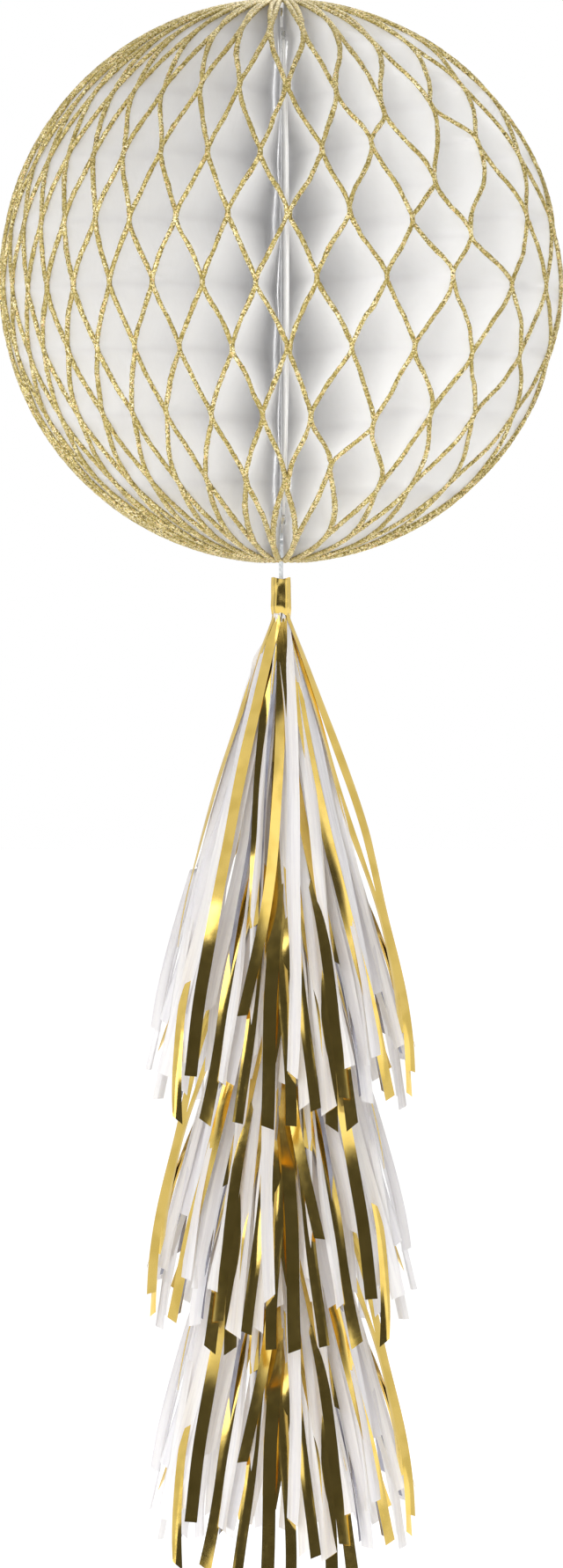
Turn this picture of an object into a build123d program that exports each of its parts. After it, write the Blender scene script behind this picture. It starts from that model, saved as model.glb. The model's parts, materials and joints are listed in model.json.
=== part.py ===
from build123d import *
import math
import os

os.makedirs("parts", exist_ok=True)

# A tissue honeycomb ball with a tail of three foil and tissue tassels, hung from a hole in its spine
# card. Millimetres and degrees, +Z up, the origin at the centre of the hanging hole. Azimuth is
# counted anticlockwise from +X seen from above, and the ball's seam faces -Y.

# Ball
ball_radius = 127.0
hang_hole_depth = 5.0
ball_centre_z = hang_hole_depth - ball_radius
seam_azimuth = -88.5

# Leaves: half-discs of tissue, glued to their two neighbours along alternate rows
leaf_count = 60
leaf_thickness = 0.2
glue_gap = 0.02
glue_pitch = 29.2
glue_length = 3.2
middle_row_z = -5.2
middle_row = 4
leaf_spine_radius = 4.9
leaf_end_z = 126.5
# The cells are pulled wider on one side of the ball than on the other
crowding = 0.1974
widest_azimuth = 5.0
# The leaves are cut away round the two card tabs
notch_radius = 7.0
notch_start_z = 99.0
notch_end_z = 104.0
# Extra sections near a leaf's two rounded ends, as distances from its highest and its lowest one
top_end_sections = (1.5, 4.5)
bottom_end_sections = (8.0,)

# End boards: two card half-discs that meet at the seam
board_radius = 115.0
board_inset = 11.0
board_thickness = 0.5
board_gap = 0.1

# Clips that hold the two boards together
clip_elevation = 70.5
clip_length = 9.0
clip_depth = 6.0
clip_wall = 0.4
clip_back = 0.9
clip_play = 0.02
clip_edge_room = 0.3

# Spine
card_width = 8.0
card_thickness = 0.8
tab_radius = 5.0
tab_hole_radius = 2.0
lower_hole_z = -232.0
spine_tube_radius = 4.7
spine_tube_wall = 0.5
spine_tube_half_length = 98.5

# Tail cord
cord_radius = 0.9
tie_loop_radius = 3.0
tie_loop_section = 0.8
tie_knot_radius = 1.7
knot_radius = 1.9
cord_play = 0.05
knot_play = 0.02
cord_in_view = 7.6

# Tassels
tier_pitch = 100.0
tier_names = ("upper", "middle", "lower")
head_length = 17.0
wrap_sides = 6
wrap_apothem = 4.5
wrap_wall = 0.2
core_radius = 4.25
core_top_recess = 1.0
shoulder_drop = 12.0
neck_radius = 2.2
neck_end_rise = 0.6

# Strips of one tassel
strip_width = 5.0
strip_thickness = 0.2
strip_drop = 230.0
strip_drop_step = 15.0
skirt_spread = 60.0
skirt_power = 1.15
gather_width = 0.9
gather_radius = 3.8
layer_step = 0.6
layer_nest = 0.35
lane_fill = 0.75
station_count = 6
station_power = 1.4
# Which strip hangs in each lane, for the outer, middle and inner layer: gold, white or silver
layer_patterns = ("GWWGWWGW" * 2, "WGWSWGWW" * 2, "GSWGWS" * 2)
strip_kinds = {"gold": "G", "white": "W", "silver": "S"}


def save(piece, name):
    """Label a finished piece and write it as its own file."""
    piece.label = name
    export_step(piece, f"parts/{name}.step")


def direction(azimuth):
    """The horizontal unit vector at an azimuth."""
    turn = math.radians(azimuth)
    return Vector(math.cos(turn), math.sin(turn), 0)


def seam_plane(offset):
    """The upright plane through the seam, moved sideways by offset, with X outwards and Y up."""
    outward = direction(seam_azimuth)
    plane = Plane(origin=(0, 0, ball_centre_z), x_dir=outward, z_dir=outward.cross(Vector(0, 0, 1)))
    return plane.offset(offset)


# ---------------------------------------------------------------- leaves


def glue_plane_azimuth(number):
    """Azimuth of a glue plane, counted round from the seam: planes crowd away from widest_azimuth."""
    seam = math.radians(seam_azimuth - widest_azimuth)
    even = seam - 2 * math.atan2(crowding * math.sin(seam), 1 + crowding * math.cos(seam))
    even += 2 * math.pi * number / leaf_count
    pulled = even + 2 * math.atan2(crowding * math.sin(even), 1 - crowding * math.cos(even))
    return math.degrees(pulled) + widest_azimuth


def glue_line(leaf, row):
    """Azimuth and sideways offset of a leaf where it is glued to its neighbour or to a board."""
    ahead = (leaf + row) % 2 == 0
    plane = leaf + 1 if ahead else leaf
    at_seam = plane in (0, leaf_count)
    clearance = board_gap / 2 + board_thickness + glue_gap if at_seam else glue_gap / 2
    offset = clearance + leaf_thickness / 2
    return glue_plane_azimuth(plane), -offset if ahead else offset


def leaf_line(leaf, z):
    """Azimuth and sideways offset of a leaf at a height above the ball's centre."""
    climb = (middle_row_z - z) / glue_pitch + middle_row
    row = math.floor(climb)
    flat = glue_length / glue_pitch
    share = min(max((climb - row - flat / 2) / (1 - flat), 0), 1)
    above, below = glue_line(leaf, row), glue_line(leaf, row + 1)
    return tuple(a + (b - a) * share for a, b in zip(above, below))


def leaf_stations():
    """Heights of a leaf's sections: the ends of every glue line, the notches and the rounded ends."""
    rows = [middle_row_z + glue_pitch * (middle_row - row) for row in range(2 * middle_row + 1)]
    heights = [row + side * glue_length / 2 for row in rows for side in (-1, 1)]
    heights += [side * z for z in (notch_start_z, notch_end_z, leaf_end_z) for side in (-1, 1)]
    heights += [leaf_end_z - step for step in top_end_sections]
    heights += [step - leaf_end_z for step in bottom_end_sections]
    return sorted(z for z in heights if abs(z) <= leaf_end_z)


def leaf_radii(z):
    """Inner and outer radius of a leaf at a height above the ball's centre."""
    notched = min(max((abs(z) - notch_start_z) / (notch_end_z - notch_start_z), 0), 1)
    inner = leaf_spine_radius + (notch_radius - leaf_spine_radius) * notched
    return inner, math.sqrt(ball_radius**2 - z**2)


def make_leaf_pair(number):
    """Two neighbouring leaves, glued to each other along every second row."""
    with BuildPart() as pair:
        for leaf in (2 * number, 2 * number + 1):
            for z in leaf_stations():
                azimuth, offset = leaf_line(leaf, z)
                inner, outer = leaf_radii(z)
                level = Plane(origin=(0, 0, ball_centre_z + z), x_dir=direction(azimuth), z_dir=(0, 0, 1))
                with BuildSketch(level):
                    with Locations(((inner + outer) / 2, offset)):
                        Rectangle(outer - inner, leaf_thickness)
            loft(ruled=True)
    return pair.part


# ---------------------------------------------------------------- boards, clips and spine


def make_board(near_face):
    """A card half-disc beside the seam, with its face at near_face along the seam plane's normal."""
    with BuildPart() as board:
        with BuildSketch(seam_plane(near_face)):
            Circle(board_radius)
            with Locations((board_inset - board_radius, 0)):
                Rectangle(2 * board_radius, 2 * board_radius, mode=Mode.SUBTRACT)
        extrude(amount=board_thickness)
    return board.part


def make_clip(elevation):
    """A clear U-shaped clip pushed over the edges of both boards."""
    upright = seam_plane(0)
    turn = math.radians(elevation)
    outward = upright.x_dir * math.cos(turn) + upright.y_dir * math.sin(turn)
    edge = Plane(origin=upright.origin + outward * board_radius, x_dir=upright.z_dir, z_dir=outward)
    slot = board_gap + 2 * board_thickness + 2 * clip_play
    with BuildPart() as clip:
        with BuildSketch(edge.offset(-clip_depth)):
            Rectangle(slot + 2 * clip_wall, clip_length)
            Rectangle(slot, clip_length, mode=Mode.SUBTRACT)
        extrude(amount=clip_depth + clip_edge_room)
        with BuildSketch(edge.offset(clip_edge_room)):
            Rectangle(slot + 2 * clip_wall, clip_length)
        extrude(amount=clip_back)
    return clip.part


def make_spine_card():
    """The stiff card strip on the ball's axis, with a punched round tab at each end."""
    with BuildPart() as card:
        with BuildSketch(Plane.XZ.offset(-card_thickness / 2)):
            with Locations((0, lower_hole_z / 2)):
                Rectangle(card_width, -lower_hole_z)
            with Locations((0, 0), (0, lower_hole_z)):
                Circle(tab_radius)
            with Locations((0, 0), (0, lower_hole_z)):
                Circle(tab_hole_radius, mode=Mode.SUBTRACT)
        extrude(amount=card_thickness)
    return card.part


def make_spine_tube():
    """The paper tube round the card, to which the leaves' straight edges are glued."""
    with BuildPart() as tube:
        with BuildSketch(Plane.XY.offset(ball_centre_z - spine_tube_half_length)):
            Circle(spine_tube_radius)
            Circle(spine_tube_radius - spine_tube_wall, mode=Mode.SUBTRACT)
        extrude(amount=2 * spine_tube_half_length)
    return tube.part


# ---------------------------------------------------------------- tail cord

tie_loop_z = lower_hole_z - tie_loop_radius
tie_knot_z = tie_loop_z - tie_loop_radius - tie_loop_section - tie_knot_radius
tie_knot_flat = math.sqrt(tie_knot_radius**2 - cord_radius**2)
knot_flat = math.sqrt(knot_radius**2 - cord_radius**2)


def head_top_z(tier):
    """Height of the top of a tassel's head."""
    return ball_centre_z - ball_radius - cord_in_view - tier * tier_pitch


def knot_z(tier):
    """Height of the centre of the knot that a tassel's head rests on."""
    return head_top_z(tier) - head_length + neck_end_rise - knot_flat


def make_tie_loop():
    """The cord's closed loop through the hole in the lower tab."""
    with BuildPart() as loop:
        with BuildSketch(Plane.XY.offset(tie_loop_z)):
            with Locations((0, tie_loop_radius)):
                Circle(tie_loop_section)
        revolve(axis=Axis((0, 0, tie_loop_z), (1, 0, 0)))
    return loop.part


def make_knot(radius, z, flat, flat_side):
    """A round knot, with one flat where its cord enters it from above (1) or leaves below (-1)."""
    cut_height = radius - flat
    with BuildPart() as knot:
        with Locations((0, 0, z)):
            Sphere(radius)
        with Locations((0, 0, z + flat_side * (flat + cut_height / 2))):
            Box(2 * radius, 2 * radius, cut_height, mode=Mode.SUBTRACT)
    return knot.part


def make_cord(top, bottom):
    """One taut, upright stretch of the tail cord."""
    with BuildPart() as cord:
        with BuildSketch(Plane.XY.offset(bottom)):
            Circle(cord_radius)
        extrude(amount=top - bottom)
    return cord.part


# ---------------------------------------------------------------- tassels


def make_wrap(tier):
    """The folded foil sleeve round a tassel's head."""
    with BuildPart() as wrap:
        with BuildSketch(Plane.XY.offset(head_top_z(tier) - head_length)):
            RegularPolygon(wrap_apothem, wrap_sides, major_radius=False)
            RegularPolygon(wrap_apothem - wrap_wall, wrap_sides, major_radius=False, mode=Mode.SUBTRACT)
        extrude(amount=head_length)
    return wrap.part


def make_core(tier):
    """The bunched tops of the strips: a plug with a neck, bored for the cord."""
    top = head_top_z(tier) - core_top_recess
    shoulder = head_top_z(tier) - shoulder_drop
    neck_end = head_top_z(tier) - head_length + neck_end_rise
    with BuildPart() as core:
        with BuildSketch(Plane.XY.offset(shoulder)):
            Circle(core_radius)
        extrude(amount=top - shoulder)
        with BuildSketch(Plane.XY.offset(neck_end)):
            Circle(neck_radius)
        extrude(amount=shoulder - neck_end)
        with BuildSketch(Plane.XY.offset(neck_end)):
            Circle(cord_radius + cord_play)
        extrude(amount=top - neck_end, mode=Mode.SUBTRACT)
    return core.part


def flare(drop):
    """How far the skirt has spread at a drop below its head."""
    share = min(max(drop, 0) / strip_drop, 1)
    return skirt_spread * math.sin(math.pi / 2 * share) ** skirt_power


def strip_radius(layer, drop):
    """Radius of a layer of strips, which hangs between its own skirt and the next tassel's."""
    nest = layer * layer_nest
    gathered = gather_radius - layer * layer_step
    return gathered + flare(drop) * (1 - nest) + flare(drop - tier_pitch) * nest


def strip_sections(layer, lanes):
    """(drop, radius, width) of the sections of one strip, from inside the wrap to its cut end."""
    end = strip_drop - strip_drop_step * (len(layer_patterns) - 1 - layer)
    drops = [end * (n / station_count) ** station_power for n in range(1, station_count + 1)]
    gathered = gather_radius - layer * layer_step
    yield shoulder_drop - head_length, gathered, gather_width
    yield 0, gathered, gather_width
    for drop in drops:
        radius = strip_radius(layer, drop)
        yield drop, radius, min(strip_width, lane_fill * 2 * math.pi * radius / lanes)


def make_strips(tier, letter):
    """All the strips of one kind in one tassel."""
    skirt_top = head_top_z(tier) - head_length
    with BuildPart() as strips:
        for layer, pattern in enumerate(layer_patterns):
            lanes = len(pattern)
            for lane in (n for n in range(lanes) if pattern[n] == letter):
                outward = direction(360 * (lane + layer / len(layer_patterns)) / lanes)
                for drop, radius, width in strip_sections(layer, lanes):
                    place = outward * radius + Vector(0, 0, skirt_top - drop)
                    with BuildSketch(Plane(origin=place, x_dir=outward, z_dir=(0, 0, 1))):
                        Rectangle(strip_thickness, width)
                loft(ruled=True)
    return strips.part


# ---------------------------------------------------------------- write every piece

save(make_spine_card(), "spine_card")
save(make_spine_tube(), "spine_tube")
save(make_board(-board_gap / 2 - board_thickness), "right_end_board")
save(make_board(board_gap / 2), "left_end_board")
save(make_clip(clip_elevation), "top_clip")
save(make_clip(-clip_elevation), "bottom_clip")

for number in range(leaf_count // 2):
    save(make_leaf_pair(number), f"leaf_pair_{number + 1:02d}")

save(make_tie_loop(), "tie_loop")
save(make_knot(tie_knot_radius, tie_knot_z, tie_knot_flat, -1), "tie_knot")

cord_top = tie_knot_z - tie_knot_flat
for tier, name in enumerate(tier_names):
    cord_bottom = head_top_z(tier) - head_length + neck_end_rise
    save(make_cord(cord_top, cord_bottom), f"{name}_cord")
    save(make_knot(knot_radius, knot_z(tier), knot_flat, 1), f"{name}_knot")
    save(make_core(tier), f"{name}_core")
    save(make_wrap(tier), f"{name}_wrap")
    for kind, letter in strip_kinds.items():
        save(make_strips(tier, letter), f"{name}_{kind}_strips")
    cord_top = knot_z(tier) - knot_radius - knot_play
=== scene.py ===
import json
import math
import random

import bpy
import numpy as np
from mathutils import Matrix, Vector, noise

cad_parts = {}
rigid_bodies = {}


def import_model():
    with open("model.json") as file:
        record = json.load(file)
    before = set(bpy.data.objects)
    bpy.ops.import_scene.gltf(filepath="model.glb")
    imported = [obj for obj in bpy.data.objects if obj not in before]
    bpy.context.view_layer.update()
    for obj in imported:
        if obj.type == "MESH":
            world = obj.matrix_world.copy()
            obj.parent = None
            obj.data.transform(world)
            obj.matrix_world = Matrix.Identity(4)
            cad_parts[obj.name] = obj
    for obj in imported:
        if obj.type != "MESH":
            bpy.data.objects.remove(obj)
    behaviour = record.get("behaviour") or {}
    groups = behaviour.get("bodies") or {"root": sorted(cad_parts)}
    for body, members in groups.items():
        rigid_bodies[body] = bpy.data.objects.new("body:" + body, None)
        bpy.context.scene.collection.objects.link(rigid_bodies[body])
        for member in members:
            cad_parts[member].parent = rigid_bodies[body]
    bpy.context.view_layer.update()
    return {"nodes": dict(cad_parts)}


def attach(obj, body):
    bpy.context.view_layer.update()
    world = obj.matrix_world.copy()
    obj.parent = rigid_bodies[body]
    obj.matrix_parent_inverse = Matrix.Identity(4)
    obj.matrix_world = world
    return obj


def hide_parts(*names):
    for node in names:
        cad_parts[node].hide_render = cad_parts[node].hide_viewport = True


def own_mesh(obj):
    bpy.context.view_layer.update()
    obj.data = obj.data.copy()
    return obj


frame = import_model()
scene = bpy.context.scene

# Metres, in the frame of the CAD: origin at the hanging hole, +Z up, the seam towards -Y.
BALL_RADIUS = 0.127
BALL_CENTRE = Vector((0, 0, -0.122))
SEAM_AZIMUTH = -88.5

# ---------------------------------------------------------------- camera

VIEW_HEIGHT = 0.7105
VIEW_CENTRE = Vector((0.0002, 0, -0.3498))
CAMERA_DISTANCE = 5.0
SENSOR = 36.0
CLIP_END = 300


def make_camera():
    """A level camera straight in front, with a long lens that sees almost parallel lines of sight."""
    data = bpy.data.cameras.new("camera")
    data.sensor_width = SENSOR
    data.lens = SENSOR * CAMERA_DISTANCE / VIEW_HEIGHT
    data.clip_end = CLIP_END
    camera = bpy.data.objects.new("camera", data)
    camera.location = VIEW_CENTRE + Vector((0, -CAMERA_DISTANCE, 0))
    camera.rotation_euler = (math.radians(90), 0, 0)
    scene.collection.objects.link(camera)
    scene.camera = camera


make_camera()

# ---------------------------------------------------------------- materials

# Sizes of a material's pattern are in cycles per metre, and heights are in metres.
COLOUR_A, COLOUR_B, MIXED_COLOUR = 6, 7, 2
GLUE_TONE = 0.14
TISSUE_GLOW = 0.7
STRIP_GLOW = 0.34
STRIP_SHEEN = 0.15
GRAIN_SCALE = 1750.0
GRAIN_TILT = 0.48
FOIL_PATTERN_WIDTH = 0.006
STRIP_PATTERN_STEP = 37.0


class Shader:
    """A material's node tree, with short calls to add and link nodes."""

    def __init__(self, name):
        self.material = bpy.data.materials.new(name)
        self.material.use_nodes = True
        self.nodes = self.material.node_tree.nodes
        self.nodes.clear()
        self.output = self.nodes.new("ShaderNodeOutputMaterial")

    def join(self, value, socket):
        """Link value to socket if it is a socket, and else set it."""
        if isinstance(value, bpy.types.NodeSocket):
            self.material.node_tree.links.new(value, socket)
        else:
            socket.default_value = value

    def add(self, kind, inputs=(), **settings):
        """A new node, with its inputs set or linked."""
        node = self.nodes.new("ShaderNode" + kind)
        for key, value in settings.items():
            setattr(node, key, value)
        for key, value in dict(inputs).items():
            self.join(value, node.inputs[key])
        return node

    def place(self, scale=(1, 1, 1)):
        """The object's own coordinates in metres, stretched by scale."""
        coordinates = self.add("TexCoord").outputs["Object"]
        return self.add("Mapping", {"Vector": coordinates, "Scale": scale}).outputs["Vector"]

    def attribute(self, name):
        return self.add("Attribute", attribute_name=name).outputs["Fac"]

    def noise(self, vector, scale, detail=3.0, roughness=0.55):
        inputs = {"Vector": vector, "Scale": scale, "Detail": detail, "Roughness": roughness}
        return self.add("TexNoise", inputs).outputs["Fac"]

    def spread(self, value, low, high, to_low=0.0, to_high=1.0):
        """value moved smoothly from low..high to to_low..to_high."""
        inputs = {"Value": value, "From Min": low, "From Max": high, "To Min": to_low, "To Max": to_high}
        return self.add("MapRange", inputs, interpolation_type="SMOOTHSTEP").outputs["Result"]

    def maths(self, operation, first, second=0.0):
        return self.add("Math", {0: first, 1: second}, operation=operation).outputs[0]

    def mix(self, factor, first, second):
        """The colour between first and second, at factor of the way."""
        node = self.add("Mix", data_type="RGBA")
        self.join(factor, node.inputs["Factor"])
        self.join(first, node.inputs[COLOUR_A])
        self.join(second, node.inputs[COLOUR_B])
        return node.outputs[MIXED_COLOUR]

    def bump(self, height, distance, strength=1.0, normal=None):
        inputs = {"Height": height, "Distance": distance, "Strength": strength}
        if normal is not None:
            inputs["Normal"] = normal
        return self.add("Bump", inputs).outputs["Normal"]

    def finish(self, surface):
        self.join(surface, self.output.inputs["Surface"])
        return self.material

    def paper(self, colour, roughness, normal, share, sheen=0.0):
        """A thin sheet that also lets a share of the light through from its other side."""
        face = self.add(
            "BsdfPrincipled",
            {"Base Color": colour, "Roughness": roughness, "Normal": normal, "Sheen Weight": sheen},
        )
        back = self.add("BsdfTranslucent", {"Color": colour, "Normal": normal})
        inputs = {0: share, 1: face.outputs[0], 2: back.outputs[0]}
        return self.finish(self.add("MixShader", inputs).outputs[0])


def rgb(red, green, blue):
    return (red, green, blue, 1.0)


def leaf_tissue():
    """White tissue: cloudy fibres, fine creases, and greyer glue lines."""
    s = Shader("white_tissue")
    here = s.place()
    clouds = s.spread(s.noise(here, 140.0, 4.0), 0.35, 0.7)
    colour = s.mix(clouds, rgb(0.99, 0.99, 0.991), rgb(0.975, 0.975, 0.977))
    colour = s.mix(s.maths("MULTIPLY", s.attribute("glue"), GLUE_TONE), colour, rgb(0.78, 0.77, 0.78))
    fibres = s.noise(s.place((1, 1, 2.2)), 1400.0, 5.0, 0.65)
    creases = s.noise(s.place((1, 1, 0.3)), 110.0, 2.0)
    normal = s.bump(fibres, 0.00006, 0.5, s.bump(creases, 0.0006, 0.45))
    return s.paper(colour, 0.78, normal, TISSUE_GLOW)


def glitter():
    """Gold glitter: grains of their own tilt and shine, coloured from dark brown to pale cream, partly
    their own gold tones and partly painted glints and shade, with brown glue between them.
    """
    s = Shader("gold_glitter")
    here = s.place()
    grains = s.add("TexVoronoi", {"Vector": here, "Scale": GRAIN_SCALE, "Randomness": 1.0})
    # Grain colours run from dark brown to pale cream: partly the glitter's own tones, partly painted
    # glints and painted shade.
    ramp = s.add("ValToRGB", {"Fac": s.add("SeparateColor", {0: grains.outputs["Color"]}).outputs[0]})
    stops = (
        (0.0, rgb(0.1, 0.07, 0.015)), (0.25, rgb(0.29, 0.215, 0.045)), (0.5, rgb(0.52, 0.41, 0.115)),
        (0.72, rgb(0.85, 0.71, 0.31)), (0.9, rgb(1.0, 0.93, 0.64)), (1.0, rgb(0.85, 0.5, 0.2)),
    )
    while len(ramp.color_ramp.elements) < len(stops):
        ramp.color_ramp.elements.new(0.5)
    for element, (position, colour) in zip(ramp.color_ramp.elements, stops):
        element.position = position
        element.color = colour
    patches = s.spread(s.noise(here, 90.0, 2.0), 0.38, 0.66)
    colour = s.mix(s.maths("MULTIPLY", patches, 0.5), ramp.outputs[0], rgb(0.33, 0.25, 0.05))
    tilt = s.add("VectorMath", {0: grains.outputs["Color"], 1: (0.5, 0.5, 0.5)}, operation="SUBTRACT")
    lean = s.add("VectorMath", {0: tilt.outputs[0], "Scale": GRAIN_TILT}, operation="SCALE")
    face = s.add("NewGeometry").outputs["Normal"]
    leaning = s.add("VectorMath", {0: face, 1: lean.outputs[0]}, operation="ADD")
    flake = s.add("VectorMath", {0: leaning.outputs[0]}, operation="NORMALIZE").outputs[0]
    inputs = {"Base Color": colour, "Metallic": 0.35, "Roughness": 0.42, "Normal": flake}
    return s.finish(s.add("BsdfPrincipled", inputs).outputs[0])


def foil(name, bright, dull, roughness):
    """Metallised film: cross creases, soft dents and a slightly uneven tint."""
    s = Shader(name)
    across, along = s.attribute("across"), s.attribute("along")
    offset = s.maths("MULTIPLY", s.attribute("strip"), STRIP_PATTERN_STEP)
    side = s.maths("MULTIPLY", across, FOIL_PATTERN_WIDTH)
    flat = s.add("CombineXYZ", {0: side, 1: along, 2: offset}).outputs[0]
    creases = s.noise(flat, 300.0, 2.0)
    dents = s.noise(flat, 42.0, 1.0)
    tint = s.spread(s.noise(flat, 90.0, 1.0), 0.4, 0.7)
    colour = s.mix(tint, bright, dull)
    normal = s.bump(creases, 0.00006, 0.2, s.bump(dents, 0.0009, 0.4))
    rough = s.spread(creases, 0.3, 0.8, roughness, roughness + 0.06)
    inputs = {"Base Color": colour, "Metallic": 1.0, "Roughness": rough, "Normal": normal}
    return s.finish(s.add("BsdfPrincipled", inputs).outputs[0])


def strip_tissue():
    """White strip film: long soft creases, painted greyer in their hollows as painted shade, and a silky
    face.
    """
    s = Shader("white_strip_tissue")
    offset = s.maths("MULTIPLY", s.attribute("strip"), STRIP_PATTERN_STEP)
    side = s.maths("MULTIPLY", s.attribute("across"), 1.6)
    along = s.maths("MULTIPLY", s.attribute("along"), 9.0)
    flat = s.add("CombineXYZ", {0: side, 1: along, 2: offset}).outputs[0]
    streaks = s.noise(flat, 3.2, 4.0)
    # Where the creases dip, the film is painted darker: painted shade.
    colour = s.mix(s.spread(streaks, 0.36, 0.62), rgb(0.885, 0.875, 0.9), rgb(0.975, 0.97, 0.97))
    # Some strips are darkened at random towards grey-lavender: painted shade.
    tone = s.mix(s.maths("MULTIPLY", s.attribute("tone"), 0.45), colour, rgb(0.68, 0.67, 0.73))
    normal = s.bump(streaks, 0.0007, 0.6)
    return s.paper(tone, 0.42, normal, STRIP_GLOW, STRIP_SHEEN)


def card():
    """White coated card with a faint felt of fibres."""
    s = Shader("white_card")
    fibres = s.noise(s.place((1, 1, 1.6)), 900.0, 4.0, 0.6)
    colour = s.mix(s.spread(fibres, 0.3, 0.75), rgb(0.97, 0.968, 0.962), rgb(0.93, 0.928, 0.92))
    normal = s.bump(fibres, 0.00005, 0.5)
    inputs = {"Base Color": colour, "Roughness": 0.62, "Normal": normal}
    return s.finish(s.add("BsdfPrincipled", inputs).outputs[0])


def clear_plastic():
    """Thin clear clip plastic with faint moulding haze."""
    s = Shader("clear_plastic")
    haze = s.noise(s.place(), 700.0, 3.0)
    inputs = {
        "Base Color": s.mix(haze, rgb(0.97, 0.98, 0.985), rgb(0.93, 0.95, 0.965)),
        "Roughness": s.spread(haze, 0.3, 0.8, 0.04, 0.16),
        "Transmission Weight": 0.9,
        "IOR": 1.46,
    }
    return s.finish(s.add("BsdfPrincipled", inputs).outputs[0])


def cord_fibre():
    """A pale, tightly twisted cord with a faint blue cast."""
    s = Shader("cord")
    strands = s.add(
        "TexWave",
        {"Vector": s.place((1, 1, 0.55)), "Scale": 520.0, "Distortion": 1.2, "Detail": 2.0},
        bands_direction="DIAGONAL",
    ).outputs["Fac"]
    # The cord is painted darker in the grooves between its strands: painted shade. Its faint blue cast
    # is its own.
    colour = s.mix(strands, rgb(0.62, 0.68, 0.73), rgb(0.88, 0.91, 0.93))
    inputs = {"Base Color": colour, "Roughness": 0.5, "Normal": s.bump(strands, 0.00012, 0.7)}
    inputs["Sheen Weight"] = 0.3
    return s.finish(s.add("BsdfPrincipled", inputs).outputs[0])


def bunched_strips():
    """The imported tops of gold, white and silver strips, seen end on."""
    s = Shader("gathered_tissue")
    cells = s.add("TexVoronoi", {"Vector": s.place((1, 1, 0.15)), "Scale": 900.0})
    pick = s.add("SeparateColor", {0: cells.outputs["Color"]}).outputs[0]
    colour = s.mix(s.spread(pick, 0.55, 0.6), rgb(0.9, 0.89, 0.9), rgb(0.78, 0.58, 0.2))
    inputs = {
        "Base Color": colour,
        "Metallic": s.spread(pick, 0.55, 0.6, 0.0, 0.85),
        "Roughness": 0.4,
        "Normal": s.bump(cells.outputs["Distance"], 0.0003, 0.6),
    }
    return s.finish(s.add("BsdfPrincipled", inputs).outputs[0])


TISSUE = leaf_tissue()
GLITTER = glitter()
GOLD = foil("gold_foil", rgb(0.88, 0.64, 0.18), rgb(0.78, 0.56, 0.14), 0.12)
SILVER = foil("silver_foil", rgb(0.42, 0.42, 0.48), rgb(0.3, 0.3, 0.36), 0.2)
STRIP_WHITE = strip_tissue()
CARD = card()
CLEAR = clear_plastic()
CORD = cord_fibre()
BUNCHED = bunched_strips()

# ---------------------------------------------------------------- mesh helpers


def make_mesh(name, points, faces, material, attributes=(), smooth=True):
    """A mesh object from points and faces, with float attributes on its points."""
    mesh = bpy.data.meshes.new(name)
    mesh.from_pydata([tuple(p) for p in points], [], faces)
    mesh.materials.append(material)
    for key, values in dict(attributes).items():
        attribute = mesh.attributes.new(key, "FLOAT", "POINT")
        attribute.data.foreach_set("value", np.asarray(values, np.float32))
    if smooth:
        mesh.polygons.foreach_set("use_smooth", [True] * len(mesh.polygons))
    mesh.update()
    piece = bpy.data.objects.new(name, mesh)
    scene.collection.objects.link(piece)
    return piece


def grid_faces(rows, columns, start=0, closed=False):
    """The quads of a grid of points, numbered row by row from start; closed joins its side columns."""
    faces = []
    for row in range(rows - 1):
        for column in range(columns if closed else columns - 1):
            after = (column + 1) % columns
            a, b = start + row * columns + column, start + row * columns + after
            faces.append((a, b, b + columns, a + columns))
    return faces


def ease(value):
    """A smooth step from 0 to 1."""
    value = min(max(value, 0.0), 1.0)
    return value * value * (3 - 2 * value)


# ---------------------------------------------------------------- tail cord, knots and tie loop

CORD_DIAMETER = 0.0018
CORD_RADIUS = CORD_DIAMETER / 2
TIE_KNOT_Z = -0.2405
KNOT_REACH = 0.0019
TIE_KNOT_REACH = 0.0017
KNOT_FLAT = math.sqrt(KNOT_REACH**2 - CORD_RADIUS**2)
TIE_KNOT_FLAT = math.sqrt(TIE_KNOT_REACH**2 - CORD_RADIUS**2)
KNOT_SINK = 0.0006
CORD_GAP = 0.00002
KNOT_RINGS = 96
KNOT_SIDES = 10
KNOT_THICKNESS = 0.4
KNOT_LAY = 0.62
HEAD_TOPS = (-0.2566, -0.3566, -0.4566)
HEAD_LENGTH = 0.017
TIERS = ("upper", "middle", "lower")
knot_heights = [top - HEAD_LENGTH + KNOT_SINK - KNOT_FLAT for top in HEAD_TOPS]


def make_knot(name, node, body, height, reach):
    """An overhand knot pulled tight: a closed tube that goes three times round itself."""
    centres = []
    for n in range(KNOT_RINGS):
        t = 2 * math.pi * n / KNOT_RINGS
        x = math.sin(t) + 2 * math.sin(2 * t)
        y = math.cos(t) - 2 * math.cos(2 * t)
        centres.append(Vector((x / 3, y / 3, -math.sin(3 * t) * KNOT_LAY)))
    scale = reach / (1 + KNOT_THICKNESS)
    points = []
    for n, centre in enumerate(centres):
        ahead = (centres[(n + 1) % KNOT_RINGS] - centres[n - 1]).normalized()
        side = ahead.cross(Vector((0, 0, 1))).normalized()
        up = side.cross(ahead)
        for k in range(KNOT_SIDES):
            turn = 2 * math.pi * k / KNOT_SIDES
            spot = centre + (side * math.cos(turn) + up * math.sin(turn)) * KNOT_THICKNESS
            points.append(spot * scale + Vector((0, 0, height)))
    faces = grid_faces(KNOT_RINGS, KNOT_SIDES, closed=True)
    last = (KNOT_RINGS - 1) * KNOT_SIDES
    for k in range(KNOT_SIDES):
        after = (k + 1) % KNOT_SIDES
        faces.append((last + k, last + after, after, k))
    knot = make_mesh(name, points, faces, CORD)
    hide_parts(node)
    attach(knot, body)
    return knot


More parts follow.
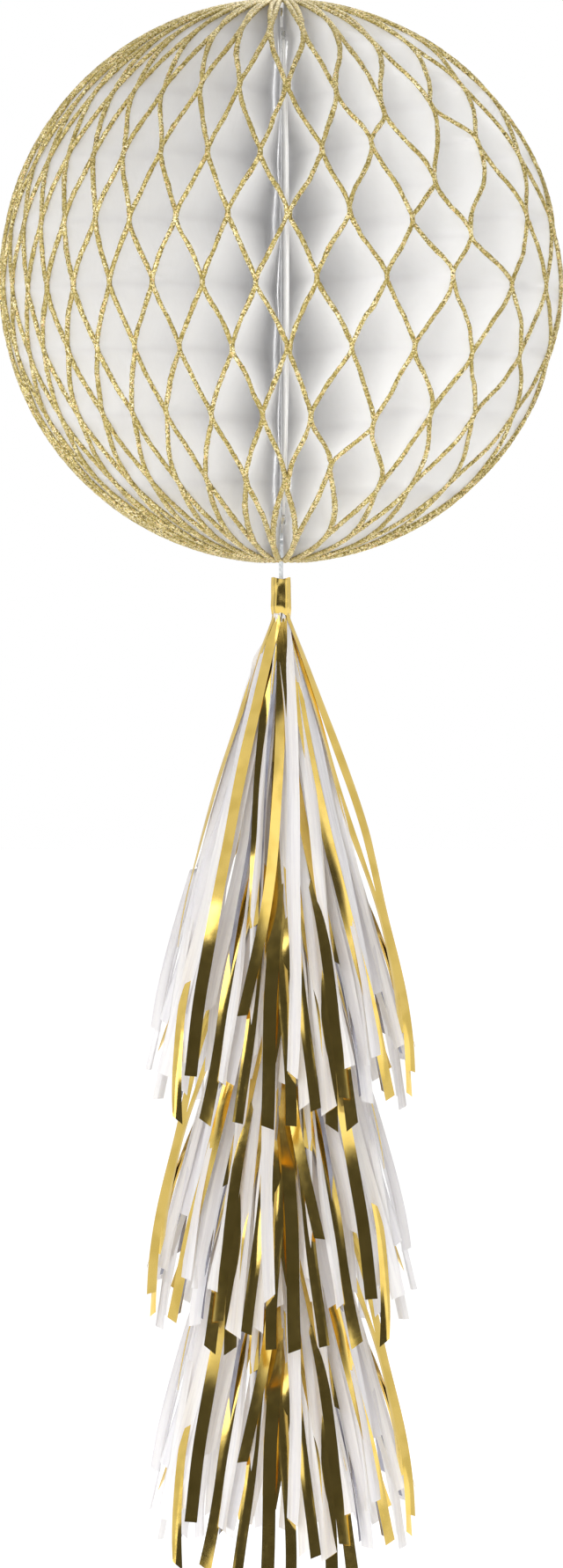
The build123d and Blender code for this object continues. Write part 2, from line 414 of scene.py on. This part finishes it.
def make_cord(name, node, body, heights):
    """One taut stretch of the tail cord, from the knot above it to its own knot."""
    data = bpy.data.curves.new(name, "CURVE")
    data.dimensions = "3D"
    spline = data.splines.new("NURBS")
    spline.points.add(len(heights) - 1)
    for point, height in zip(spline.points, heights):
        point.co = (0, 0, height, 1)
    spline.order_u = 3
    spline.use_endpoint_u = True
    data.bevel_depth = CORD_RADIUS
    data.bevel_resolution = 5
    data.use_fill_caps = True
    data.materials.append(CORD)
    cord = bpy.data.objects.new(name, data)
    scene.collection.objects.link(cord)
    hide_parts(node)
    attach(cord, body)


def make_tail_line():
    """The tie knot, then a cord and a knot for each tassel."""
    make_knot("tie_knot_cord", "tie_knot", "upper_line", TIE_KNOT_Z, TIE_KNOT_REACH)
    top = TIE_KNOT_Z - TIE_KNOT_FLAT
    for tier, head_top, knot_height in zip(TIERS, HEAD_TOPS, knot_heights):
        bottom = head_top - HEAD_LENGTH + KNOT_SINK
        line = f"{tier}_line"
        knot = make_knot(f"{tier}_knot_cord", f"{tier}_knot", line, knot_height, KNOT_REACH)
        heights = [top + (bottom - top) * share for share in (0, 0.25, 0.5, 0.75, 1)]
        make_cord(f"{tier}_cord_line", f"{tier}_cord", line, heights)
        top = knot_height - KNOT_REACH - CORD_GAP


make_tail_line()

# ---------------------------------------------------------------- leaves of the ball

LEAF_COUNT = 60
GLUE_PITCH = 0.0292
GLUE_HALF = 0.0016
MIDDLE_ROW_Z = -0.0052
MIDDLE_ROW = 4
CROWDING = 0.1974
WIDEST_AZIMUTH = 5.0
BOARD_GLUE_OFFSET = 0.00067
LEAF_GLUE_OFFSET = 0.00011
LEAF_END = 0.1265
LEAF_INNER = 0.0049
TAB_ROOM = 0.0021
TAB_START = 0.099
TAB_SLOPE = 0.005
LEAF_RINGS = 150
LEAF_COLUMNS = (0.0, 0.14, 0.32, 0.5, 0.66, 0.79, 0.88, 0.95, 1.0)
# Degrees a pair of leaves takes up in the closed fan, and how much thicker its glitter stays.
FOLDED_PAIR = 0.147
FOLDED_GLITTER = 4.0


def glue_plane(number):
    """Azimuth in degrees of a glue plane, counted round from the seam."""
    seam = math.radians(SEAM_AZIMUTH - WIDEST_AZIMUTH)
    even = seam - 2 * math.atan2(CROWDING * math.sin(seam), 1 + CROWDING * math.cos(seam))
    even += 2 * math.pi * number / LEAF_COUNT
    pulled = even + 2 * math.atan2(CROWDING * math.sin(even), 1 - CROWDING * math.cos(even))
    return math.degrees(pulled) + WIDEST_AZIMUTH


planes = [glue_plane(number) for number in range(LEAF_COUNT + 1)]


def unevenness(azimuth):
    """How irregular the cells are: most on the right of the front."""
    return 0.35 + 0.65 * max(0.0, math.cos(math.radians(azimuth + 25))) ** 2


# Each crumpled spot: its azimuth, its row, how far it reaches in degrees and in rows, its strength.
CRUMPLED_SPOTS = ((-54, 1.3, 32, 3.0, 1.3), (-66, 7.0, 30, 2.0, 0.6))


def crumple(azimuth, row):
    """How squashed the cells are: most in the upper right of the front, and a little below that."""
    most = 0.0
    for centre, level, wide, tall, strength in CRUMPLED_SPOTS:
        near = max(0.0, 1 - abs(azimuth - centre) / wide) * max(0.0, 1 - abs(row - level) / tall)
        most = max(most, near * strength)
    return most


def make_nodes():
    """Azimuth and height of each glued spot, by plane and row, each a little off its regular place."""
    draw = random.Random(7)
    nodes = {}
    for plane, azimuth in enumerate(planes):
        loose = unevenness(azimuth)
        for row in range(-1, 10):
            fixed = plane in (0, LEAF_COUNT)
            crushed = crumple(azimuth, row)
            turn = 0.0 if fixed else draw.uniform(-1, 1) * (1.5 * loose + 3.4 * crushed)
            rise = draw.uniform(-1, 1) * (0.0030 * loose + 0.011 * crushed)
            height = MIDDLE_ROW_Z + GLUE_PITCH * (MIDDLE_ROW - row) + rise
            nodes[plane, row] = (azimuth + turn, height)
    return nodes


def make_bends():
    """How far each stretch of a leaf between two glued spots bends from a straight line to an S."""
    draw = random.Random(17)
    bends = {}
    for leaf in range(LEAF_COUNT):
        for row in range(-1, 9):
            crushed = crumple(planes[leaf], row + 0.5)
            bends[leaf, row] = draw.uniform(0.0, 0.22) + draw.uniform(0.0, 1.7) * crushed
    return bends


nodes = make_nodes()
bends = make_bends()


def leaf_node(leaf, row):
    """Azimuth, height and sideways offset of a leaf at one of its glued spots."""
    ahead = (leaf + row) % 2 == 0
    plane = leaf + 1 if ahead else leaf
    azimuth, height = nodes[plane, row]
    offset = BOARD_GLUE_OFFSET if plane in (0, LEAF_COUNT) else LEAF_GLUE_OFFSET
    return azimuth, height, -offset if ahead else offset


def leaf_line(leaf, z):
    """Azimuth, offset, glue share and free share of a leaf at a height above the ball's centre."""
    for row in range(-1, 9):
        above, below = leaf_node(leaf, row), leaf_node(leaf, row + 1)
        if z > below[1]:
            break
    top, bottom = above[1] - GLUE_HALF, below[1] + GLUE_HALF
    share = min(max((top - z) / (top - bottom), 0.0), 1.0)
    glued = 1.0 - ease((min(above[1] - z, z - below[1]) - GLUE_HALF * 0.7) / (GLUE_HALF * 0.6))
    bend = bends[leaf, row]
    bent = (1 - bend) * share + bend * ease(share)
    azimuth = above[0] + (below[0] - above[0]) * bent
    offset = above[2] + (below[2] - above[2]) * bent
    return azimuth, offset, glued, math.sin(math.pi * share)


def leaf_radii(z):
    """Inner and outer radius of a leaf at a height above the ball's centre."""
    inner = LEAF_INNER + TAB_ROOM * ease((abs(z) - TAB_START) / TAB_SLOPE)
    return inner, math.sqrt(BALL_RADIUS**2 - z**2)


def leaf_point(leaf, z, share, line):
    """A point of a leaf, at a share of the way out along its radius, and the leaf's glue there."""
    azimuth, offset, glued, free = line
    inner, outer = leaf_radii(z)
    radius = inner + (outer - inner) * share
    seed = leaf * 7.31
    wobble = noise.noise(Vector((seed, z * 62, share * 0.8))) * 1.25
    wobble += noise.noise(Vector((seed, z * 170, 5 + share))) * 0.25
    sway = noise.noise(Vector((seed, z * 30, 11 + share * 1.5))) * 1.2
    azimuth += (wobble * share**2 + sway * share * 0.6) * free * unevenness(azimuth) * 1.1
    turn = math.radians(azimuth)
    x = radius * math.cos(turn) - offset * math.sin(turn)
    y = radius * math.sin(turn) + offset * math.cos(turn)
    return Vector((x, y, z)) + BALL_CENTRE


def make_leaf(leaf):
    """Points and glue values of one leaf, as a grid from its lowest to its highest section."""
    points, glue = [], []
    for n in range(LEAF_RINGS + 1):
        z = LEAF_END * math.sin(math.pi * (n / LEAF_RINGS - 0.5))
        line = leaf_line(leaf, z)
        for share in LEAF_COLUMNS:
            points.append(leaf_point(leaf, z, share, line))
            glue.append(line[2])
    return points, glue


BEAD_RINGS = 330
BEAD_SIDES = 8
BEAD_HALF_WIDTH = 0.00108
BEAD_HALF_DEPTH = 0.0009


def smear(spot):
    """How far the glitter has spread: most on the left and near the poles, where the edges crowd."""
    left = ease((-spot.x / BALL_RADIUS - 0.35) / 0.5)
    pole = ease((abs(spot.z) / BALL_RADIUS - 0.62) / 0.25)
    return min(1.0, left * (0.45 + pole) + 0.25 * pole)


def make_bead(leaf):
    """The ring points of the glitter on one leaf's cut edge."""
    draw = random.Random(1000 + leaf)
    path = []
    for n in range(BEAD_RINGS + 1):
        z = LEAF_END * math.sin(math.pi * (n / BEAD_RINGS - 0.5))
        path.append(leaf_point(leaf, z, 1.0, leaf_line(leaf, z)))
    points = []
    for n, centre in enumerate(path):
        ahead = (path[min(n + 1, BEAD_RINGS)] - path[max(n - 1, 0)]).normalized()
        out = (centre - BALL_CENTRE).normalized()
        side = ahead.cross(out).normalized()
        out = side.cross(ahead).normalized()
        ends = 0.25 if n in (0, BEAD_RINGS) else 1.0
        broad = 1 + 0.22 * noise.noise(Vector((leaf * 3.7, n * 0.16, 0)))
        broad += 0.75 * smear(centre - BALL_CENTRE)
        for k in range(BEAD_SIDES):
            turn = 2 * math.pi * k / BEAD_SIDES
            grain = 1 + draw.uniform(-0.13, 0.13)
            across = side * math.cos(turn) * BEAD_HALF_WIDTH * broad * grain * ends
            deep = out * math.sin(turn) * BEAD_HALF_DEPTH * grain * ends
            points.append(centre + across + deep)
    return points


def make_leaves():
    """Each glued pair of leaves and its glitter, attached to the pair's body; in the real ball they fold
    flat together as the fan closes.
    """
    columns = len(LEAF_COLUMNS)
    for pair in range(LEAF_COUNT // 2):
        points, glue, faces, beads, bead_faces = [], [], [], [], []
        for leaf in (2 * pair, 2 * pair + 1):
            more, sticky = make_leaf(leaf)
            faces += grid_faces(LEAF_RINGS + 1, columns, len(points))
            points += more
            glue += sticky
            bead_faces += grid_faces(BEAD_RINGS + 1, BEAD_SIDES, len(beads), closed=True)
            first, last = len(beads), len(beads) + BEAD_RINGS * BEAD_SIDES
            bead_faces.append(tuple(first + k for k in reversed(range(BEAD_SIDES))))
            bead_faces.append(tuple(last + k for k in range(BEAD_SIDES)))
            beads += make_bead(leaf)
        number = f"{pair + 1:02d}"
        sheet = make_mesh(f"leaves_{number}_tissue", points, faces, TISSUE, {"glue": glue})
        edge = make_mesh(f"leaves_{number}_glitter", beads, bead_faces, GLITTER)
        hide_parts(f"leaf_pair_{number}")
        keep = FOLDED_PAIR / (planes[2 * pair + 2] - planes[2 * pair])
        for piece, share in ((sheet, keep), (edge, keep * FOLDED_GLITTER)):
            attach(piece, f"leaves_{number}")
            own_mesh(piece)


make_leaves()

# ---------------------------------------------------------------- tassel heads

WRAP_APOTHEM = 0.0041
WRAP_TURNS = 61
WRAP_RINGS = 22
WRAP_OVERLAP = 1.06
CORE_RADIUS = 0.0037
CORE_BORE = 0.00098
CORE_TURNS = 144


def make_wrap(tier, head_top, mirrored):
    """The flattened foil sleeve: six soft facets, an overlapping edge, creases and an uneven rim."""
    corner = WRAP_APOTHEM / math.cos(math.pi / 6)
    points, across, along = [], [], []
    for ring in range(WRAP_RINGS):
        down = ring / (WRAP_RINGS - 1)
        for n in range(WRAP_TURNS):
            share = n / (WRAP_TURNS - 1) * WRAP_OVERLAP
            angle = 2 * math.pi * share + math.radians(200)
            facet = angle % (math.pi / 3) - math.pi / 6
            flat = WRAP_APOTHEM / math.cos(facet)
            radius = flat + (corner - flat) * 0.1 - 0.00012 * (1 - share / WRAP_OVERLAP)
            radius *= 1 - 0.05 * (1 - down) ** 2 - 0.06 * ease(down * 4 - 3)
            level = down * 3 + 4.0 * TIERS.index(tier)
            around = Vector((math.cos(angle) * 1.6, math.sin(angle) * 1.6, level))
            radius += noise.noise(around) * 0.00022
            rim = 0.0005 * math.sin(2 * angle + 0.8) + 0.0003 * noise.noise(Vector((angle * 2, 3, 0)))
            hem = 0.0012 * math.sin(angle + 0.5) + 0.0006 * noise.noise(Vector((angle * 2, 9, 0)))
            z = head_top + rim * (1 - down) - (HEAD_LENGTH + hem) * down
            side = -1 if mirrored else 1
            points.append((side * radius * math.cos(angle), radius * math.sin(angle), z))
            across.append(n / (WRAP_TURNS - 1) * 4.0)
            along.append(down * HEAD_LENGTH)
    faces = grid_faces(WRAP_RINGS, WRAP_TURNS)
    if not mirrored:
        faces = [tuple(reversed(face)) for face in faces]
    number = [0.37 * TIERS.index(tier)] * len(points)
    attributes = {"across": across, "along": along, "strip": number}
    wrap = make_mesh(f"{tier}_wrap_foil", points, faces, GOLD, attributes)
    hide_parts(f"{tier}_wrap")
    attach(wrap, f"{tier}_tassel")


def make_core(tier, head_top):
    """The bunched strip tops: a pleated plug with the cord's bore, that narrows to a pleated neck."""
    profile = (
        (CORE_BORE, -0.0164), (CORE_BORE, -0.0018), (0.0014, -0.0011), (0.0024, -0.0009),
        (0.0031, -0.001), (0.00355, -0.0014), (CORE_RADIUS, -0.0024), (CORE_RADIUS, -0.006),
        (0.0036, -0.0095), (0.0032, -0.0112), (0.0027, -0.0124), (0.0022, -0.014), (0.0021, -0.0164),
    )
    points = []
    for ring, (radius, drop) in enumerate(profile):
        for n in range(CORE_TURNS):
            angle = 2 * math.pi * n / CORE_TURNS
            pleat = math.sin(23 * angle + 1.2 * math.sin(3 * angle)) + 0.5 * math.sin(41 * angle)
            depth = 0.0 if radius < 0.0012 else 0.00011
            reach = min(radius + pleat * depth, CORE_RADIUS)
            lift = 0.00022 * pleat if 1 < ring < 6 else 0.0
            points.append((reach * math.cos(angle), reach * math.sin(angle), head_top + drop + lift))
    faces = grid_faces(len(profile), CORE_TURNS, closed=True)
    last = (len(profile) - 1) * CORE_TURNS
    for n in range(CORE_TURNS):
        after = (n + 1) % CORE_TURNS
        faces.append((last + n, last + after, after, n))
    core = make_mesh(f"{tier}_core_strips", points, faces, BUNCHED)
    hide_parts(f"{tier}_core")
    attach(core, f"{tier}_tassel")


# ---------------------------------------------------------------- strips

SKIRT_SPREAD = 0.068
SKIRT_REACH = 0.300
TIER_PITCH = 0.1
STRIP_RINGS = 72
STRIP_START = -0.0045
KINDS = {
    "gold": ("G", GOLD, "gold_foil", 5),
    "white": ("W", STRIP_WHITE, "white_strip_tissue", 9),
    "silver": ("S", SILVER, "silver_foil", 5),
}

# The strips of the front, each as its kind, the azimuths it starts and ends at, the way its face
# looks at its top, middle and end (degrees from the front), its layer, the drop of its end and
# its width.
FRONT_STRIPS = (
    ("G", -127, -128, (-38, -30, -4), 0.00, 0.2072, 0.0056),
    ("G", -118, -103, (-36, -4, -40), 0.24, 0.1400, 0.0050),
    ("G", -166, -160, (-58, -64, -84), -0.10, 0.1500, 0.0048),
    ("G", -87, -107, (0, 26, 8), 0.05, 0.1800, 0.0049),
    ("G", -18, -27, (62, 48, 40), -0.25, 0.2055, 0.0052),
    ("G", -28, -8, (62, 60, 62), 0.20, 0.1900, 0.0048),
    ("G", -61, -34, (26, 24, 36), 0.22, 0.2175, 0.0052),
    ("G", -82, -60, (10, 30, -6), 0.62, 0.1560, 0.0046),
    ("G", -108, -125, (-30, -20, -3), 1.48, 0.2280, 0.0052),
    ("G", -98, -106, (-4, -4, -4), 1.60, 0.2278, 0.0048),
    ("G", -92, -96, (0, 2, 0), 1.16, 0.2300, 0.0059),
    ("G", -90, -88, (2, 0, -1), 1.42, 0.2292, 0.0050),
    ("G", -85, -77, (14, 8, 2), 1.02, 0.2220, 0.0048),
    ("G", -68, -59, (4, 0, -3), 1.72, 0.2300, 0.0052),
    ("G", -74, -69, (0, 3, 1), 1.96, 0.2304, 0.0057),
    ("G", -97, -98, (-24, -34, -30), 0.86, 0.1960, 0.0048),
    ("S", -104, -101, (-26, -42, -50), 0.16, 0.1700, 0.0026),
    ("S", -118, -119, (-60, -48, -52), 0.80, 0.2120, 0.0030),
    ("S", -70, -66, (50, 44, 50), 0.90, 0.2100, 0.0026),
    ("S", -52, -50, (70, 52, 40), 1.30, 0.2160, 0.0030),
    ("W", -76, -86, (8, 10, -4), 0.18, 0.2068, 0.0068),
    ("W", -106, -103, (-20, -6, -12), 0.13, 0.1980, 0.0056),
    ("W", -60, -62, (24, 30, 12), 0.26, 0.2030, 0.0070),
    ("W", -44, -41, (40, 30, 36), 0.16, 0.1985, 0.0066),
    ("W", -70, -69, (10, 12, 6), 0.74, 0.2224, 0.0078),
    ("W", -84, -80, (6, 10, 4), 0.78, 0.2200, 0.0064),
    ("W", -136, -147, (-50, -38, -24), 0.30, 0.2070, 0.0066),
    ("W", -146, -160, (-60, -52, -36), 0.52, 0.1900, 0.0070),
    ("W", -122, -138, (-30, -34, -30), 0.38, 0.2020, 0.0054),
    ("W", -112, -114, (-24, -28, -12), 0.56, 0.2100, 0.0058),
    ("W", -30, -22, (60, 52, 44), 0.46, 0.1950, 0.0060),
)
WIDTHS = {"G": (0.0046, 0.0053), "W": (0.0050, 0.0074), "S": (0.0024, 0.0034)}
SIDE_STRIPS = "WWWSWWW"
BACK_STRIPS = "GWWGWSGWWGWWGWGWSWGWWGWGWWSGWWW"
INNER_STRIPS = "WWGWWGWWGWSW"


def flare(drop):
    """How far the skirt has spread at a drop below its head."""
    return SKIRT_SPREAD * math.sin(math.pi / 2 * max(drop, 0.0) / SKIRT_REACH)


def strip_radius(depth, drop):
    """Radius of a layer of strips, which hangs between its own skirt and the next tassel's."""
    nest = depth * 0.35
    return 0.0037 - depth * 0.0006 + flare(drop) * (1 - nest) + flare(drop - TIER_PITCH) * nest


def blend(values, share):
    """A smooth run through three values as share goes from 0 to 1."""
    first, middle, last = values
    if share < 0.5:
        return first + (middle - first) * ease(share * 2)
    return middle + (last - middle) * ease(share * 2 - 1)


class Strip:
    """One strip: its kind, its route down the skirt, the way it faces, and its folds."""

    def __init__(self, draw, kind, start, end, faces, depth, drop, width):
        self.kind, self.start, self.end = kind, start, end
        self.faces, self.depth, self.drop, self.width = faces, depth, drop, width
        # How this strip differs from its neighbours: bend, pull, waves, cut, curl, crease, and how far
        # painted shade darkens it.
        self.seed = draw.uniform(0, 90)
        self.bend = draw.uniform(1.0, 1.7)
        self.pull = draw.uniform(-0.04, 0.035)
        self.wave = draw.uniform(0.3, 1.0)
        self.slant = draw.uniform(-0.8, 0.8)
        self.curl = draw.uniform(-0.003, 0.004)
        self.crease = draw.uniform(-0.28, 0.28)
        self.fold = draw.uniform(-0.9, 0.9) if kind == "W" else draw.uniform(-0.22, 0.22)
        # How far painted shade darkens this strip, drawn at random.
        self.tone = draw.uniform(0, 1) ** 2

    def sway(self, drop, lane, pace):
        """A smooth random number, in -1..1, that changes down the strip."""
        return noise.noise(Vector((self.seed, drop * pace, lane)))

    def centre(self, drop):
        """The middle of the strip at a drop below its head."""
        share = min(max(drop, 0.0) / self.drop, 1.0)
        loose = ease(share * 2)
        depth = self.depth
        if self.kind == "G" and depth > 0.9:
            depth *= 1 - 0.75 * ease((share - 0.35) / 0.45)
        radius = strip_radius(depth, drop) * (1 + self.pull * loose)
        radius += self.curl * max(share - 0.7, 0.0) ** 2 * 9 + 0.0016 * self.sway(drop, 0, 18) * loose
        azimuth = self.start + (self.end - self.start) * share**self.bend
        azimuth += 5.5 * self.wave * self.sway(drop, 7, 12) * loose
        turn = math.radians(azimuth)
        return Vector((radius * math.cos(turn), radius * math.sin(turn), -drop))

    def section(self, drop, shares):
        """The points across the strip at a drop below its head."""
        here = self.centre(drop)
        ahead = (self.centre(drop + 0.001) - here).normalized()
        share = min(max(drop, 0.0) / self.drop, 1.0)
        radial = Vector((here.x, here.y, 0)).normalized()
        front = -90 if here.y < 0 else 90
        twist = 16 * self.sway(drop, 3, 26) * ease(share * 2)
        look = math.radians(front + blend(self.faces, share) + twist)
        face = Vector((math.cos(look), math.sin(look), 0))
        loose = ease(drop / 0.04)
        out = radial.lerp(face, loose)
        out = (out - ahead * out.dot(ahead)).normalized()
        side = ahead.cross(out)
        radius = max(math.hypot(here.x, here.y), 0.002)
        fold = self.fold * ease(drop / 0.05) * (1 + 0.8 * self.sway(drop, 5, 20))
        points = []
        for u in shares:
            reach = u * self.width
            away = abs(u - self.crease) * self.width
            depth = away * math.sin(fold) - reach**2 / (2 * radius) * (1 - loose)
            slip = self.slant * reach * share**24
            across = reach * (math.cos(fold) if loose else 1.0)
            points.append(here + side * across + out * depth + Vector((0, 0, -slip)))
        return points


def spread_strips(draw, kinds, first, last, depths, drops):
    """Strips of the given kinds, spread evenly but not regularly from the first to the last azimuth."""
    strips = []
    for number, kind in enumerate(kinds):
        end = first + (last - first) * (number + draw.uniform(0.2, 0.8)) / len(kinds)
        start = end + draw.uniform(-34, 34)
        offset = (end + 90 + 180) % 360 - 180
        if abs(offset) > 90:
            offset = (end - 90 + 180) % 360 - 180
        faces = [offset * draw.uniform(0.4, 1.0) + draw.uniform(-18, 18) for _ in range(3)]
        width = draw.uniform(*WIDTHS[kind])
        depth, drop = draw.uniform(*depths), draw.uniform(*drops)
        strips.append(Strip(draw, kind, start, end, faces, depth, drop, width))
    return strips


def plan_strips():
    """Every strip of a tassel."""
    draw = random.Random(11)
    strips = [Strip(draw, *row) for row in FRONT_STRIPS]
    strips += spread_strips(draw, SIDE_STRIPS, -200, -132, (0.0, 1.2), (0.165, 0.206))
    strips += spread_strips(draw, SIDE_STRIPS, -48, 15, (0.1, 1.2), (0.17, 0.206))
    strips += spread_strips(draw, BACK_STRIPS, 5, 175, (0.05, 1.6), (0.185, 0.224))
    strips += spread_strips(draw, INNER_STRIPS, -160, -20, (0.9, 2.0), (0.20, 0.229))
    return strips


def column_shares(strip, columns):
    """Where a strip's columns lie across it, with one of them on its crease."""
    half = columns // 2
    left = [-0.5 + (strip.crease + 0.5) * n / half for n in range(half)]
    right = [strip.crease + (0.5 - strip.crease) * n / half for n in range(half + 1)]
    return left + right


def make_strips(tier, top, mirrored):
    """The gold, white and silver strips of one tassel, each kind one piece of several strips."""
    flip = -1 if mirrored else 1
    for name, (letter, material, slot, columns) in KINDS.items():
        points, faces, across, along, number, tone = [], [], [], [], [], []
        strips = [strip for strip in plan_strips() if strip.kind == letter]
        for index, strip in enumerate(strips):
            shares = column_shares(strip, columns)
            faces += grid_faces(STRIP_RINGS + 1, columns, len(points))
            for ring in range(STRIP_RINGS + 1):
                drop = STRIP_START + (strip.drop - STRIP_START) * ring / STRIP_RINGS
                section = strip.section(drop, shares)
                points += [(flip * p.x, p.y, p.z + top) for p in section]
                across += shares
                along += [drop] * columns
                number += [index / len(strips)] * columns
                tone += [strip.tone] * columns
        attributes = {"across": across, "along": along, "strip": number, "tone": tone}
        piece = make_mesh(f"{tier}_{name}_ribbons", points, faces, material, attributes)
        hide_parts(f"{tier}_{name}_strips")
        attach(piece, f"{tier}_tassel")


for tier, head_top in zip(TIERS, HEAD_TOPS):
    mirrored = tier == "middle"
    make_wrap(tier, head_top, mirrored)
    make_core(tier, head_top)
    make_strips(tier, head_top - HEAD_LENGTH, mirrored)

# ---------------------------------------------------------------- CAD pieces that stay

for node, material in (
    ("spine_card", CARD), ("spine_tube", CARD), ("right_end_board", CARD), ("left_end_board", CARD),
    ("top_clip", CLEAR), ("bottom_clip", CLEAR), ("tie_loop", CORD),
):
    for slot in frame["nodes"][node].material_slots:
        slot.material = material

# ---------------------------------------------------------------- stage and light

FLOOR_Z = -0.74
FLOOR_REACH = 60.0
FLOOR_GLOW = 0.34
STUDIO_STRENGTH = 0.8
UNLIT_STRENGTH = 0.075


def make_floor():
    """A wide, pale floor."""
    sides = ((-1, -1), (1, -1), (1, 1), (-1, 1))
    corners = [(x * FLOOR_REACH, y * FLOOR_REACH, FLOOR_Z) for x, y in sides]
    s = Shader("pale_floor")
    inputs = {"Base Color": rgb(0.92, 0.92, 0.92), "Roughness": 0.9, "Emission Strength": FLOOR_GLOW}
    inputs["Emission Color"] = rgb(1, 1, 1)
    material = s.finish(s.add("BsdfPrincipled", inputs).outputs[0])
    floor = make_mesh("floor", corners, [(0, 1, 2, 3)], material, smooth=False)


def make_world():
    """A bright, even studio with one unlit stretch low behind the camera, which the foil mirrors."""
    world = bpy.data.worlds.new("studio")
    scene.world = world
    world.use_nodes = True
    tree = world.node_tree
    tree.nodes.clear()

    def add(kind, inputs=(), **settings):
        node = tree.nodes.new("ShaderNode" + kind)
        for key, value in settings.items():
            setattr(node, key, value)
        for key, value in dict(inputs).items():
            if isinstance(value, bpy.types.NodeSocket):
                tree.links.new(value, node.inputs[key])
            else:
                node.inputs[key].default_value = value
        return node

    direction = add("SeparateXYZ", {0: add("TexCoord").outputs["Generated"]})
    aside = add("Math", {0: direction.outputs["X"]}, operation="ABSOLUTE").outputs[0]
    ahead, above = direction.outputs["Y"], direction.outputs["Z"]
    ranges = ((aside, 0.62, 0.4), (ahead, 0.0, -0.2), (above, 0.84, 0.7))
    unlit = 1.0
    for value, none, full in ranges:
        share = add(
            "MapRange",
            {"Value": value, "From Min": none, "From Max": full},
            interpolation_type="SMOOTHSTEP",
        ).outputs["Result"]
        unlit = add("Math", {0: unlit, 1: share}, operation="MULTIPLY").outputs[0]
    darker = {"Value": unlit, "To Min": STUDIO_STRENGTH, "To Max": UNLIT_STRENGTH}
    strength = add("MapRange", darker).outputs["Result"]
    around = add("Background", {"Color": rgb(1.0, 0.995, 0.985), "Strength": strength})
    seen = add("Background", {"Color": rgb(1, 1, 1), "Strength": 1.0})
    camera_ray = add("LightPath").outputs["Is Camera Ray"]
    mixed = add("MixShader", {0: camera_ray, 1: around.outputs[0], 2: seen.outputs[0]})
    output = add("OutputWorld")
    tree.links.new(mixed.outputs[0], output.inputs["Surface"])


def make_light(name, spot, target, size, power):
    """A square soft box at spot, aimed at target."""
    data = bpy.data.lights.new(name, "AREA")
    data.shape = "SQUARE"
    data.size = size
    data.energy = power
    light = bpy.data.objects.new(name, data)
    light.location = spot
    light.rotation_euler = (Vector(target) - Vector(spot)).to_track_quat("-Z", "Y").to_euler()
    light.visible_camera = False
    scene.collection.objects.link(light)


def lit_from_front(piece):
    """The foil mirrors the unlit stretch of the studio, so the frontal light is only for the rest."""
    materials = {slot.material for slot in piece.material_slots}
    return bool(materials) and not materials & {GOLD, SILVER}


def make_sun(name, aim, spread, strength, receivers):
    """A soft light on the receivers, aim degrees to the right of the front and above the level."""
    data = bpy.data.lights.new(name, "SUN")
    data.angle = math.radians(spread)
    data.energy = strength
    sun = bpy.data.objects.new(name, data)
    sun.rotation_euler = (math.radians(90 - aim[1]), 0, math.radians(aim[0]))
    scene.collection.objects.link(sun)
    lit = bpy.data.collections.new(name + "_receivers")
    for piece in receivers:
        lit.objects.link(piece)
    sun.light_linking.receiver_collection = lit


# Each soft box: its name, spot, target, size and power.
SOFT_BOXES = (
    ("key", (-1.5, -1.9, 1.1), (0, 0, -0.25), 1.1, 8),
    ("fill", (1.9, -1.5, 0.2), (0, 0, -0.35), 1.3, 2.5),
    ("rim", (0.3, 1.8, 1.2), (0, 0, -0.2), 1.2, 8),
)
SUN_AIM = (-16, 14)
SUN_SPREAD = 25
SUN_STRENGTH = 1.3
MAX_BOUNCES = 32
LEAF_BOUNCES = 20
SEAM_LIGHT_SIZE = (0.003, 0.215)
SEAM_LIGHT_POWER = 0.005
SEAM_LIGHT_AHEAD = 0.02
SEAM_LIGHT_ASIDE = 0.0019


def make_seam_light(side):
    """A faint strip light deep in the cell beside the seam, for the glow through the leaves."""
    data = bpy.data.lights.new(f"seam_glow_{side}", "AREA")
    data.shape = "RECTANGLE"
    data.size, data.size_y = SEAM_LIGHT_SIZE
    data.energy = SEAM_LIGHT_POWER
    light = bpy.data.objects.new(data.name, data)
    turn = math.radians(SEAM_AZIMUTH)
    ahead = Vector((math.cos(turn), math.sin(turn), 0))
    aside = Vector((-math.sin(turn), math.cos(turn), 0))
    light.location = BALL_CENTRE + ahead * SEAM_LIGHT_AHEAD + aside * side * SEAM_LIGHT_ASIDE
    light.rotation_euler = (math.radians(90), 0, math.radians(SEAM_AZIMUTH + 90))
    light.visible_camera = False
    scene.collection.objects.link(light)


make_floor()
make_world()
for soft_box in SOFT_BOXES:
    make_light(*soft_box)
for side in (-1, 1):
    make_seam_light(side)
receivers = [piece for piece in scene.objects if lit_from_front(piece)]
make_sun("front", SUN_AIM, SUN_SPREAD, SUN_STRENGTH, receivers)

# Light passes through many leaves before it reaches the viewer.
scene.cycles.max_bounces = MAX_BOUNCES
scene.cycles.diffuse_bounces = LEAF_BOUNCES
scene.cycles.transmission_bounces = LEAF_BOUNCES
scene.view_settings.view_transform = "Standard"
scene.view_settings.look = "None"
